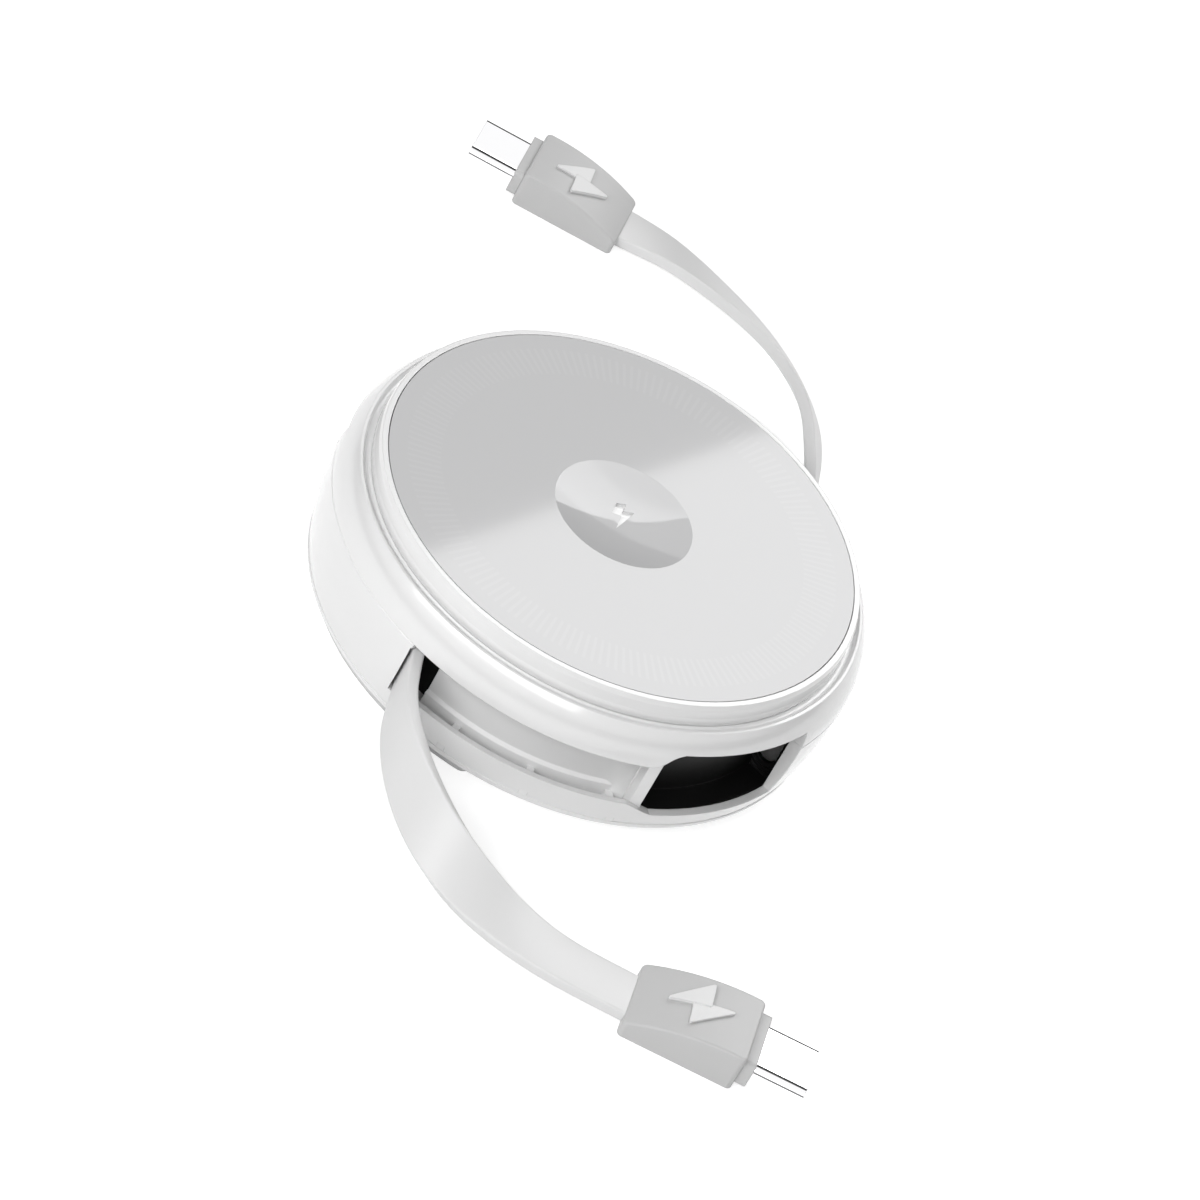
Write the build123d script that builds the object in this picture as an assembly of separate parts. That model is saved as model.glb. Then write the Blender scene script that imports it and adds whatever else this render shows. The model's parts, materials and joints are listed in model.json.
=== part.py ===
from build123d import *
import os
from math import atan2, cos, degrees, radians, sin, tan

# Retractable charging cable: a round two-ended cable reel with a charging pad on top.
# Millimetres. +Z up. The origin is on the floor under the middle of the reel, the feet stand at z = 0.
# The front is -Y. An azimuth is counted in degrees from the front towards +X.

# Flat cable
CABLE_W = 6.8
CABLE_T = 1.5
CABLE_EDGE = 0.35         # chamfer of the cable's long edges

# Heights, each from what lies under it
FOOT_OUT = 1.2            # how far the feet stand out below the case
CASE_FLOOR_T = 1.4        # floor of the lower shell
CAGE_FLOOR_T = 0.8
WASHER_T = 0.5
FLANGE_T = 0.8
LID_ROOM = 0.55           # from the wound cable to the spool's lid
LID_T = 0.7
PART_RISE = 0.6           # from the lid's underside to the parting plane
LINTEL_RISE = 2.3         # from the parting plane to the top of the dock window
NECK_RISE = 3.75          # from the parting plane to the groove under the pad
SHOULDER_H = 0.95         # the shoulder's edge above the groove
DECK_T = 1.2              # top deck of the upper shell
PAD_H = 3.8               # from the groove to the top of the panel
SILL_RISE = 1.8           # from the case's floor to the sill of the dock window
LEDGE_RISE = 1.7          # from the sill to the top of the wall below the recess
RIB_RISE = 1.3
BAND_RISE = 2.5           # top of the low band on the recess's inner wall
BAND_T = 0.4
LIP_H = 0.45              # small lip round the bottom edge
REVEAL = 0.14             # chamfers that make the fine line where the two shells meet

# Radii, each from what lies outside it
CASE_R = 33.65            # both shells at the parting plane
CASE_WALL = 1.65
BELLY_IN = 0.2            # the lower shell at half height, inside the parting radius
LIP_IN = 1.3
LIP_SLOPE = 0.45
SHOULDER_MID_IN = 0.6
SHOULDER_IN = 1.7
SHOULDER_EDGE = 0.35
NECK_IN = 2.65
POCKET_DEPTH = 3.2        # from the side wall's inner face to the recess's inner wall
WALL_T = 1.0
LEDGE_T = 1.1             # the side wall below the recess is thinner

# Bays, as angles from the cable slot of their side
SLOT_AZ = -23.5           # edge of the shell where the front cable comes out
SLOT_ANGLE = 5.0          # deep part of the slot
BACK_TURN_ANGLE = 166.0   # from the front slot to the back one
FRONT_RECESS_ANGLE = 53.5     # from the slot to where the ledge starts to slope down
BACK_RECESS_ANGLE = 97.0
RAMP_ANGLE = 6.5          # the ledge's slope down to the sill
WINDOW_LEAD_ANGLE = 4.0   # from the start of the slope to the dock window
DOCK_ANGLE = 34.7         # dock window
POST_ANGLE = 1.8          # plate between the recess and the window
WEB_ANGLE = 1.5
RIB_FIRST_ANGLE = 14.5
RIB_STEP_ANGLE = 19.0
SLOT_GAP = 0.35           # room on each side of the cable in its slot
CHANNEL_L = 20.0
RIB_T = 0.9
POST_OUT = 0.5            # how far the plate reaches out past the side wall's inner face
PLATE_T = 0.75
CORNER_R = 1.1            # rounded lower corner of the window
END_FILLET = 2.2          # hollow corner at the end of the recess
TONGUE_AZ = ((86, 108), (112, 134), (295, 310), (314, 328))
TONGUE_T = 1.0            # snap tongues of the upper shell
TONGUE_GAP = 0.1
TONGUE_DROP = 3.65        # how far they reach below the parting plane
BEAD = 0.35               # how far the tongues' beads reach into their grooves
BEAD_H = 0.8

# Dock liner
LINER_T = 0.8
LINER_GAP = 0.3
LINER_END_ANGLE = 3.3     # the pocket runs on behind the side wall
LINER_LIP = 0.4           # black edge that shows under the window's top
TIP_GAP = 0.15            # room round the metal tip in its slot
TIP_SINK = 0.4            # each of the two steps round that slot

# Pad
PAD_IN = 0.7              # from the groove's outer edge to the flat rim
PAD_BULGE = 0.25          # the bezel's side outside its rim
BEZEL_TUCK = 0.5
BEZEL_T = 1.9
RIM_W = 0.8               # flat rim round the panel
RIM_BEVEL_H = 0.6
PANEL_T = 1.6
PANEL_GAP = 0.12
PANEL_LEDGE = 0.5
DISH_R = 8.74
DISH_DEPTH = 0.95
MARK_DEPTH = 0.25
BOARD_T = 0.8
BOARD_GAP = 0.8
MAGNET_EDGE = 0.8
MAGNET_W = 3.6
MAGNETS = 16
MAGNET_GAP_ANGLE = 3.0
FERRITE_T = 0.6
FERRITE_GAP = 0.8
COIL_EDGE = 0.8
COIL_IN_R = 9.6
COIL_T = 0.7
COIL_GROOVES = 2          # grooves between the coil's bundles of turns
COIL_GROOVE = 0.25

# Reel
AXLE_R = 2.0
CAGE_ROOM = 0.4
CAGE_T = 1.0
CAGE_TOP_GAP = 0.35
FLANGE_GAP = 0.6
WOUND_IN = 3.2            # the wound cable inside the flange's edge
HUB_R = 13.0
HUB_T = 1.2
WEB_T = 0.8
WEB_DROP = 1.45           # the web's top below the lid
BUSH_T = 0.8
RUN_GAP = 0.06            # radial clearance of the running fits
SPRING_T = 0.35
SPRING_H = 4.0
SPRING_TURNS = 4
ARBOR_T = 1.6
BALL_R = 0.9
TRACK_IN = 5.3            # latch track inside the flange's edge
TRACK_W = 2.2
TRACK_DEPTH = 0.55
TRACK_NOTCHES = 6
CONTACT_RINGS = 4
RING_PITCH = 1.6
RING_W = 1.0

# Plugs
PLUG_L = 14.3
PLUG_W = 10.6
PLUG_H = 5.0              # at the tip side
PLUG_TAIL_H = 2.0         # at the cable side
PLUG_CROWN = 0.95         # how far the top bows up between its ends
PLUG_EDGE = 0.35
PLUG_CORNER = 0.7
MARK_HIGH = 0.55          # relief of the two halves of the charging mark
MARK_LOW = 0.4
COLLAR_L = 1.3
COLLAR_IN = 0.6           # the collar inside the grip's side
TIP_W = 8.25
TIP_H = 2.4
TIP_L = 6.4
TIP_WALL = 0.28
CONTACTS = 12
CONTACT_PITCH = 0.5

# Feet and screw
FEET = 3
FOOT_IN = 1.7             # middle line of the feet inside the bottom edge
FOOT_W = 2.2
FOOT_SPAN_ANGLE = 60.0
FOOT_START_AZ = -62.0
FOOT_SEAT = 0.5
FOOT_GAP = 0.05
SCREW_R = 1.0
SCREW_HEAD_R = 2.5
SCREW_HEAD_H = 0.7
SCREW_L = 7.0

# The cables' routes, from the spool to the plug, each point with the cable's tilt in degrees:
# 90 stands on edge, 0 lies flat.
FRONT_ROUTE = [
    (-21.9, -8.4, 8.35, 90), (-18.0, -16.5, 8.35, 90), (-13.4, -25.0, 8.35, 90), (-12.3, -31.6, 8.35, 90),
    (-11.0, -37.2, 7.8, 84), (-7.7, -42.3, 6.7, 74), (-3.1, -46.4, 5.0, 60), (2.4, -49.5, 3.4, 42),
    (8.5, -51.5, 2.1, 18), (14.8, -52.4, 1.3, 4), (21.1, -52.45, 1.02, 0), (27.4, -51.9, 1.0, 0),
]
BACK_ROUTE = [
    (23.4, 3.4, 8.35, 90), (21.9, 14.9, 8.35, 90), (20.1, 26.2, 8.35, 90), (18.7, 35.6, 8.1, 77),
    (17.1, 44.4, 7.4, 61), (15.1, 52.6, 6.2, 53), (11.9, 59.5, 4.9, 46), (7.3, 65.6, 3.8, 38),
    (1.8, 70.2, 3.0, 29), (-4.1, 73.6, 2.2, 21), (-9.4, 76.0, 1.6, 13), (-14.0, 77.3, 1.1, 4),
    (-18.3, 77.15, 1.0, 0),
]
SECTIONS = 26             # sections along a cable

# Heights that follow
FLOOR_TOP = FOOT_OUT + CASE_FLOOR_T
CAGE_FLOOR_TOP = FLOOR_TOP + CAGE_FLOOR_T
SPOOL_Z = CAGE_FLOOR_TOP + WASHER_T
FLANGE_TOP = SPOOL_Z + FLANGE_T
LID_Z = FLANGE_TOP + CABLE_W + LID_ROOM
LID_TOP = LID_Z + LID_T
WEB_TOP = LID_Z - WEB_DROP
PART_Z = LID_Z + PART_RISE
CAGE_TOP = PART_Z - CAGE_TOP_GAP
LINTEL_Z = PART_Z + LINTEL_RISE
NECK_Z = PART_Z + NECK_RISE
SHOULDER_Z = NECK_Z + SHOULDER_H
DECK_Z = NECK_Z - DECK_T
TOP_Z = NECK_Z + PAD_H
PANEL_Z = TOP_Z - PANEL_T
BOARD_TOP = NECK_Z + BOARD_T
FERRITE_TOP = BOARD_TOP + FERRITE_T
SILL_Z = FLOOR_TOP + SILL_RISE
LEDGE_Z = SILL_Z + LEDGE_RISE
TONGUE_LOW = PART_Z - TONGUE_DROP
SCREW_TOP = FOOT_OUT + SCREW_HEAD_H
COLLAR_W = PLUG_W - 2 * COLLAR_IN
COLLAR_H = PLUG_H - 2 * COLLAR_IN - 0.1
TIP_Z = PLUG_H / 2 - 0.2  # middle of the metal tip above the floor

# Radii that follow
CASE_IN_R = CASE_R - CASE_WALL
LEDGE_IN_R = CASE_R - LEDGE_T
LIP_R = CASE_R - LIP_IN
BOTTOM_R = LIP_R - LIP_SLOPE
SHOULDER_R = CASE_R - SHOULDER_IN
NECK_R = CASE_R - NECK_IN
WALL_R = CASE_IN_R - POCKET_DEPTH
WALL_IN_R = WALL_R - WALL_T
LINER_OUT_R = CASE_IN_R - LINER_GAP
POST_R = CASE_IN_R + POST_OUT
RIM_R = NECK_R - PAD_IN
BEZEL_R = RIM_R + PAD_BULGE
BEZEL_IN_R = RIM_R - BEZEL_T
PANEL_R = RIM_R - RIM_W
BOARD_R = BEZEL_IN_R - BOARD_GAP
MAGNET_OUT_R = BOARD_R - MAGNET_EDGE
MAGNET_IN_R = MAGNET_OUT_R - MAGNET_W
FERRITE_R = MAGNET_IN_R - FERRITE_GAP
COIL_OUT_R = FERRITE_R - COIL_EDGE
CAGE_OUT_R = WALL_IN_R - CAGE_ROOM
CAGE_IN_R = CAGE_OUT_R - CAGE_T
FLANGE_R = CAGE_IN_R - FLANGE_GAP
WOUND_R = FLANGE_R - WOUND_IN
TRACK_R = FLANGE_R - TRACK_IN
WELL_R = HUB_R - HUB_T
BUSH_R = AXLE_R + RUN_GAP + BUSH_T
ARBOR_R = AXLE_R + ARBOR_T
FOOT_R = BOTTOM_R - FOOT_IN
BAYS = ((0.0, FRONT_RECESS_ANGLE, FRONT_ROUTE[2:4]), (BACK_TURN_ANGLE, BACK_RECESS_ANGLE, BACK_ROUTE[1:3]))


def at(radius, azimuth, z=0.0):
    turn = radians(azimuth)
    return Vector(radius * sin(turn), -radius * cos(turn), z)


def ring(inner, outer, z0, z1):
    """A plain ring or disc between two heights."""
    solid = Pos(0, 0, z0) * Cylinder(outer, z1 - z0, align=(Align.CENTER, Align.CENTER, Align.MIN))
    if inner > 0:
        solid -= Pos(0, 0, z0) * Cylinder(inner, z1 - z0, align=(Align.CENTER, Align.CENTER, Align.MIN))
    return solid


def sector(inner, outer, az0, az1, z0, z1):
    """A piece of a ring between two azimuths and two heights."""
    start, size = az0 - 90, az1 - az0
    with BuildPart() as part:
        with BuildSketch(Plane.XY.offset(z0)):
            with BuildLine():
                far = CenterArc((0, 0), outer, start, size)
                near = CenterArc((0, 0), inner, start, size)
                Line(far @ 0, near @ 0)
                Line(far @ 1, near @ 1)
            make_face()
        extrude(amount=z1 - z0)
    return part.part


def draw(outline):
    """A closed outline: each entry is a point, or a pair (through, to) for an arc."""
    here = outline[0]
    for step in outline[1:] + (outline[0],):
        if isinstance(step[0], tuple):
            ThreePointArc(here, step[0], step[1])
            here = step[1]
        else:
            Line(here, step)
            here = step


def turned(*outline, az0=0.0, az1=360.0):
    """A turned solid of (r, z) points, all the way round or between two azimuths."""
    with BuildPart() as part:
        with BuildSketch(Plane.XZ):
            with BuildLine():
                draw(outline)
            make_face()
        revolve(axis=Axis.Z, revolution_arc=az1 - az0)
    return Rot(0, 0, az0 - 90) * part.part


def radial_prism(azimuth, outline, inner, outer):
    """A side outline of (along, z) points at one azimuth, run out along the radius."""
    plane = Plane(origin=at(inner, azimuth), x_dir=at(1, azimuth + 90), z_dir=at(1, azimuth))
    with BuildPart() as part:
        with BuildSketch(plane):
            with BuildLine():
                draw(outline)
            make_face()
        extrude(amount=outer - inner)
    return part.part


def upright(radius, spot, z0, z1):
    return Pos(spot.X, spot.Y, z0) * Cylinder(radius, z1 - z0, align=(Align.CENTER, Align.CENTER, Align.MIN))


def slope_start(recess, turn=0.0):
    return SLOT_AZ + turn + recess


def window_start(recess, turn=0.0):
    return slope_start(recess, turn) + WINDOW_LEAD_ANGLE


# Case

def cable_channel(run):
    """A straight channel for the cable along the run with which it leaves the case."""
    inside, outside = Vector(*run[0][:3]), Vector(*run[1][:3])
    along = (outside - inside).normalized()
    height = CABLE_W + 2 * SLOT_GAP
    plane = Plane(origin=inside - Vector(0, 0, height / 2), x_dir=along, z_dir=(0, 0, 1))
    return plane * Box(CHANNEL_L, CABLE_T + 2 * SLOT_GAP, height, align=(Align.MIN, Align.CENTER, Align.MIN))


def bay_cut(turn, recess):
    """What one bay takes out of the lower shell's side wall."""
    slot = SLOT_AZ + turn
    slope = slope_start(recess, turn)
    level = slope + RAMP_ANGLE
    inner, outer, top = CASE_IN_R - 0.6, CASE_R + 2, PART_Z + 1
    length = (CASE_R + 0.5) * radians(RAMP_ANGLE)
    bend = LEDGE_RISE / 2
    cut = sector(inner, outer, slot, slope + RAMP_ANGLE / 2, LEDGE_Z, top)
    cut += sector(inner, outer, slot, slot + SLOT_ANGLE, SILL_Z, top)
    cut += sector(inner, outer, level, window_start(recess, turn) + DOCK_ANGLE, SILL_Z, top)
    cut += sector(inner, LEDGE_IN_R, slot, window_start(recess, turn), FLOOR_TOP, LEDGE_Z)
    cut += radial_prism(slope, (
        (0, LEDGE_Z), ((bend, LEDGE_Z - bend * 0.4), (length / 2, LEDGE_Z - bend)),
        ((length - bend, SILL_Z + bend * 0.4), (length, SILL_Z)), (length, top), (0, top)), inner, outer)
    return cut


def recess_end(turn, recess):
    """The hollow corner, web and plate that close the recess and frame the window's near side."""
    window = window_start(recess, turn)
    web = window - POST_ANGLE - WEB_ANGLE + 0.5
    corner = web - degrees(END_FILLET / WALL_R)
    frame = sector(WALL_IN_R, WALL_R + END_FILLET, corner, web, FLOOR_TOP, PART_Z)
    frame -= upright(END_FILLET, at(WALL_R + END_FILLET, corner), FLOOR_TOP - 1, PART_Z + 1)
    frame += sector(WALL_IN_R, POST_R, web, web + WEB_ANGLE, FLOOR_TOP, PART_Z)
    frame += sector(POST_R - PLATE_T, POST_R, window - POST_ANGLE, window, FLOOR_TOP, PART_Z)
    reach = degrees(CORNER_R / CASE_IN_R)
    gusset = sector(POST_R - PLATE_T, POST_R, window, window + reach, SILL_Z - 0.2, SILL_Z + CORNER_R)
    plane = Plane(origin=at(WALL_R, window + reach, SILL_Z + CORNER_R), z_dir=at(1, window + reach))
    gusset -= plane * Cylinder(CORNER_R, 10, align=(Align.CENTER, Align.CENTER, Align.MIN))
    return frame + gusset


def bay_walls(turn, recess):
    """The recess's inner wall with its low band, the ribs, and the frame of the dock window."""
    slot = SLOT_AZ + turn
    web = window_start(recess, turn) - POST_ANGLE - WEB_ANGLE + 0.5
    wall = sector(WALL_IN_R, WALL_R, slot + 4, web + 0.5, FLOOR_TOP - 0.2, PART_Z)
    band = FLOOR_TOP + BAND_RISE
    wall += turned((WALL_R - 0.1, FLOOR_TOP), (WALL_R + BAND_T, FLOOR_TOP), (WALL_R + BAND_T, band - BAND_T),
                   (WALL_R, band), (WALL_R - 0.1, band), az0=slot + 4, az1=web)
    angle = RIB_FIRST_ANGLE
    while angle < recess:
        half = degrees(RIB_T / 2 / WALL_R)
        wall += sector(WALL_R - 0.5, LEDGE_IN_R + 0.2, slot + angle - half, slot + angle + half,
                       FLOOR_TOP - 0.2, FLOOR_TOP + RIB_RISE)
        angle += RIB_STEP_ANGLE
    return wall + recess_end(turn, recess)


def lower_shell():
    belly = (FOOT_OUT + LIP_H + PART_Z) / 2
    shell = turned(
        (BOTTOM_R, FOOT_OUT), (LIP_R, FOOT_OUT + LIP_H),
        ((CASE_R - BELLY_IN, belly), (CASE_R, PART_Z - REVEAL)), (CASE_R - REVEAL, PART_Z),
        (CASE_IN_R, PART_Z), (CASE_IN_R, FLOOR_TOP), (SCREW_R + 0.1, FLOOR_TOP), (SCREW_R + 0.1, SCREW_TOP),
        (SCREW_HEAD_R + 0.2, SCREW_TOP), (SCREW_HEAD_R + 0.2, FOOT_OUT))
    for turn, recess, run in BAYS:
        shell -= bay_cut(turn, recess)
        shell += bay_walls(turn, recess)
        shell -= cable_channel(run)
    for az0, az1 in TONGUE_AZ:
        shell -= sector(CASE_IN_R - 1, CASE_IN_R + BEAD, az0, az1, TONGUE_LOW + BEAD_H - TONGUE_GAP,
                        TONGUE_LOW + 2 * BEAD_H + TONGUE_GAP)
    for azimuth in foot_places():
        shell -= foot(azimuth, 0)
    return shell


def snap_tongues():
    """Tongues that reach down inside the lower shell, each with a bead that snaps into a groove."""
    face = CASE_IN_R - TONGUE_GAP
    tongues = []
    for az0, az1 in TONGUE_AZ:
        tongues.append(sector(face - TONGUE_T, face, az0 + 1, az1 - 1, TONGUE_LOW, PART_Z))
        tongues.append(sector(face - TONGUE_T, face - TONGUE_T / 2, az0 + 1, az1 - 1, PART_Z, DECK_Z))
        tongues.append(sector(face - TONGUE_T, face + BEAD, az0 + 1, az1 - 1, TONGUE_LOW + BEAD_H,
                              TONGUE_LOW + 2 * BEAD_H))
    return tongues


def upper_shell():
    middle = (CASE_R - SHOULDER_MID_IN, (PART_Z + SHOULDER_Z) / 2 + 0.6)
    boss_r, boss_z = AXLE_R + 1.4, DECK_Z - 0.9
    shell = turned(
        (CASE_R - REVEAL, PART_Z), (CASE_R, PART_Z + REVEAL), (middle, (SHOULDER_R, SHOULDER_Z)),
        (SHOULDER_R - SHOULDER_EDGE, SHOULDER_Z), (NECK_R, NECK_Z), (AXLE_R + RUN_GAP, NECK_Z),
        (AXLE_R + RUN_GAP, boss_z), (boss_r, boss_z), (boss_r, DECK_Z), (CASE_IN_R - DECK_T, DECK_Z),
        (CASE_IN_R, PART_Z))
    for turn, recess, run in BAYS:
        slope, window = slope_start(recess, turn), window_start(recess, turn)
        length = (CASE_R + 0.5) * radians(RAMP_ANGLE)
        bend = LINTEL_RISE / 2
        inner, low, end = WALL_IN_R - TONGUE_GAP, PART_Z - 1, window + DOCK_ANGLE
        room0, room1 = window - POST_ANGLE + 0.4, end + LINER_END_ANGLE + 2.2
        shell -= sector(inner, CASE_R + 2, slope + RAMP_ANGLE, end, low, LINTEL_Z)
        shell -= sector(inner, LINER_OUT_R + TONGUE_GAP, room0, room1, low, LINTEL_Z)
        shell -= radial_prism(slope, (
            (0, low), (0, PART_Z), ((bend, PART_Z + bend * 0.4), (length / 2, PART_Z + bend)),
            ((length - bend, LINTEL_Z - bend * 0.4), (length + 0.1, LINTEL_Z)), (length + 0.1, low)),
            NECK_R - 0.2, CASE_R + 2)
    for tongue in snap_tongues():
        shell += tongue
    return shell - contact_slot(TONGUE_GAP)


def foot_places():
    return [FOOT_START_AZ + i * 360 / FEET for i in range(FEET)]


def foot(azimuth, gap):
    """An arc foot with round ends, seated in a groove of the case's floor."""
    half = FOOT_W / 2 - gap
    top = FOOT_OUT + FOOT_SEAT
    inset = degrees(FOOT_W / 2 / FOOT_R)
    body = sector(FOOT_R - half, FOOT_R + half, azimuth + inset, azimuth + FOOT_SPAN_ANGLE - inset, 0, top)
    for end in (azimuth + inset, azimuth + FOOT_SPAN_ANGLE - inset):
        body += upright(half, at(FOOT_R, end), 0, top)
    return body


def axle_pin():
    """Pin on the case's floor that the spool turns on, bored for the screw."""
    return ring(0, AXLE_R, FLOOR_TOP, NECK_Z - 0.3) - ring(0, SCREW_R, FLOOR_TOP, SCREW_TOP + SCREW_L)


def axle_screw():
    screw = ring(0, SCREW_HEAD_R, SCREW_TOP - SCREW_HEAD_H, SCREW_TOP)
    screw += ring(0, SCREW_R, SCREW_TOP, SCREW_TOP + SCREW_L)
    recess = Pos(0, 0, SCREW_TOP - SCREW_HEAD_H) * (Box(2.6, 0.6, 0.8) + Box(0.6, 2.6, 0.8))
    return screw - recess


def tip_slot(plane, grow, depth):
    """A round-ended slot as high as a metal tip that stands on edge."""
    width, height = TIP_H + 2 * (TIP_GAP + grow), TIP_W + 2 * (TIP_GAP + grow)
    with BuildPart() as part:
        with BuildSketch(plane):
            RectangleRounded(width, height, width / 2 - 0.01)
        extrude(amount=depth, both=True)
    return part.part


def dock_liner(turn, recess):
    """Black pocket behind a dock window, with a stepped slot in its end for the plug's metal tip."""
    window = window_start(recess, turn)
    start = window - POST_ANGLE + 0.7
    far = window + DOCK_ANGLE + LINER_END_ANGLE
    end = far + degrees(LINER_T / WALL_R) * 1.2
    low, top = SILL_Z - 0.3, LINTEL_Z - 0.05
    liner = sector(WALL_IN_R, LINER_OUT_R, start, end, FLOOR_TOP, top)
    back = WALL_IN_R + LINER_T
    liner -= sector(back, LINER_OUT_R + 1, start + degrees(0.5 / WALL_R), far, low, top - LINER_T)
    lip_az0, lip_az1 = slope_start(recess, turn) + RAMP_ANGLE + 0.3, window + DOCK_ANGLE - 0.3
    lip_r = CASE_R - SHOULDER_MID_IN - 0.15
    liner += sector(LINER_OUT_R - 0.5, lip_r, lip_az0, lip_az1, top - LINER_LIP, top)
    place = at((WALL_IN_R + LINER_OUT_R) / 2, far, (SILL_Z + LINTEL_Z) / 2)
    plane = Plane(origin=place, x_dir=at(1, far), z_dir=at(1, far + 90))
    for grow, depth in ((0, 3), (0.6, TIP_SINK), (1.1, TIP_SINK / 2)):
        liner -= tip_slot(plane, grow, depth)
    return liner


# Charging pad

def pad_bezel():
    bulge = (NECK_Z + TOP_Z) / 2
    ledge = BEZEL_IN_R - PANEL_LEDGE
    seat = PANEL_R + PANEL_GAP
    return turned(
        (RIM_R - BEZEL_TUCK, NECK_Z), ((BEZEL_R - 0.12, NECK_Z + 0.6), (BEZEL_R, bulge)),
        (BEZEL_R - 0.04, TOP_Z - RIM_BEVEL_H), (RIM_R, TOP_Z), (seat, TOP_Z), (seat, PANEL_Z),
        (ledge, PANEL_Z), (ledge, PANEL_Z - 0.6), (BEZEL_IN_R, PANEL_Z - 0.6 - PANEL_LEDGE),
        (BEZEL_IN_R, NECK_Z))


def top_panel():
    """Flat panel with a shallow dish and a charging mark sunk in the dish."""
    bowl = (DISH_R ** 2 + DISH_DEPTH ** 2) / (2 * DISH_DEPTH)
    panel = ring(0, PANEL_R, PANEL_Z, TOP_Z)
    panel -= Pos(0, 0, TOP_Z - DISH_DEPTH + bowl) * Sphere(bowl)
    with BuildPart() as mark:
        with BuildSketch(Plane.XY.offset(TOP_Z - DISH_DEPTH - MARK_DEPTH)):
            with BuildLine():
                draw(((-1.37, 2.24), (-0.34, 2.82), (-0.22, 1.57), (1.03, 2.18), (0.04, -1.93), (-0.13, 0.64),
                      (-1.3, 0.3)))
            make_face()
        extrude(amount=DISH_DEPTH)
    return panel - mark.part


def alignment_magnets():
    step, half = 360 / MAGNETS, MAGNET_GAP_ANGLE / 2
    return Compound(children=[
        sector(MAGNET_IN_R, MAGNET_OUT_R, i * step + half, (i + 1) * step - half, BOARD_TOP, PANEL_Z)
        for i in range(MAGNETS)])


def charging_coil():
    """Flat coil with shallow grooves between its bundles of turns."""
    coil = ring(COIL_IN_R, COIL_OUT_R, FERRITE_TOP, FERRITE_TOP + COIL_T)
    step = (COIL_OUT_R - COIL_IN_R) / (COIL_GROOVES + 1)
    for i in range(COIL_GROOVES):
        middle = COIL_IN_R + (i + 1) * step
        coil -= ring(middle - COIL_GROOVE / 2, middle + COIL_GROOVE / 2, FERRITE_TOP + COIL_T / 2, TOP_Z)
    return coil


def circuit_board():
    board = ring(0, BOARD_R, NECK_Z, BOARD_TOP)
    board -= Pos(at(BOARD_R, 180, NECK_Z)) * Box(6, 3, BOARD_T, align=(Align.CENTER, Align.CENTER, Align.MIN))
    return board


def board_components():
    """Chips, capacitors and the coil's connector in the hole of the ferrite."""
    spots = ((0, 0, 4.0, 4.0, 0.8), (4.4, 1.5, 1.6, 2.4, 0.9), (-4.4, 1.0, 1.6, 2.0, 0.7),
             (0.5, 4.6, 3.0, 1.5, 1.0), (-1.5, -4.6, 1.0, 1.6, 0.6), (0.6, -4.6, 1.0, 1.6, 0.6),
             (2.7, -4.4, 1.0, 1.6, 0.6))
    return Compound(children=[
        Pos(x, y, BOARD_TOP) * Box(w, d, h, align=(Align.CENTER, Align.CENTER, Align.MIN))
        for x, y, w, d, h in spots])


def ring_radii():
    return [BUSH_R + 1.74 + RING_PITCH * i for i in range(CONTACT_RINGS)]


def contact_slot(gap):
    """The opening in the deck over the contact rings, or with no gap the block that fits it."""
    radii = ring_radii()
    middle, length = (radii[0] + radii[-1]) / 2, radii[-1] - radii[0] + 2.2
    return Pos(middle, 0, DECK_Z - 1) * Box(length + 2 * gap, 5.0 + 2 * gap, DECK_T + 1,
                                            align=(Align.CENTER, Align.CENTER, Align.MIN))


def contact_springs():
    """Bent leaf contacts that reach from the carrier down to the rings."""
    top, low = DECK_Z - 1, LID_TOP + 0.75
    leaves = []
    for radius in ring_radii():
        with BuildPart() as leaf:
            with BuildSketch(Plane.YZ.offset(radius - 0.4)):
                with BuildLine():
                    draw(((2.0, top), (-1.0, low + 0.22), (-1.5, low), (-1.9, low + 0.2), (-1.8, low + 0.4),
                          (-1.5, low + 0.22), (-1.05, low + 0.45), (1.7, top)))
                make_face()
            extrude(amount=0.8)
        leaves.append(leaf.part)
    return Compound(children=leaves)


# Reel

def reel_cage():
    """Black cage round the spool, with a gap in its wall where each cable leaves."""
    cage = ring(AXLE_R, CAGE_OUT_R, FLOOR_TOP, CAGE_FLOOR_TOP)
    cage += ring(CAGE_IN_R, CAGE_OUT_R, FLOOR_TOP, CAGE_TOP)
    for turn, recess, run in BAYS:
        slot = SLOT_AZ + turn
        cage -= sector(CAGE_IN_R - 1, CAGE_OUT_R + 1, slot - 32, slot - 3, CAGE_FLOOR_TOP, CAGE_TOP)
    cage -= Pos(TRACK_R, 0, FLOOR_TOP) * Box(TRACK_W + 2, 2 * BALL_R + 0.15, CAGE_FLOOR_T,
                                             align=(Align.CENTER, Align.CENTER, Align.MIN))
    return cage


def spring_arbor():
    """Fixed sleeve on the axle that holds the inner end of the power spring."""
    sleeve = ring(AXLE_R, ARBOR_R, CAGE_FLOOR_TOP, WEB_TOP - WEB_T - 0.3)
    slit = Box(1.4, 0.5, 8, align=(Align.CENTER, Align.CENTER, Align.MIN))
    return sleeve - Pos(ARBOR_R, 0, CAGE_FLOOR_TOP + 1) * slit


def spool_washer():
    return ring(WELL_R - 2.6, WELL_R + 1.0, CAGE_FLOOR_TOP, SPOOL_Z)


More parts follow.
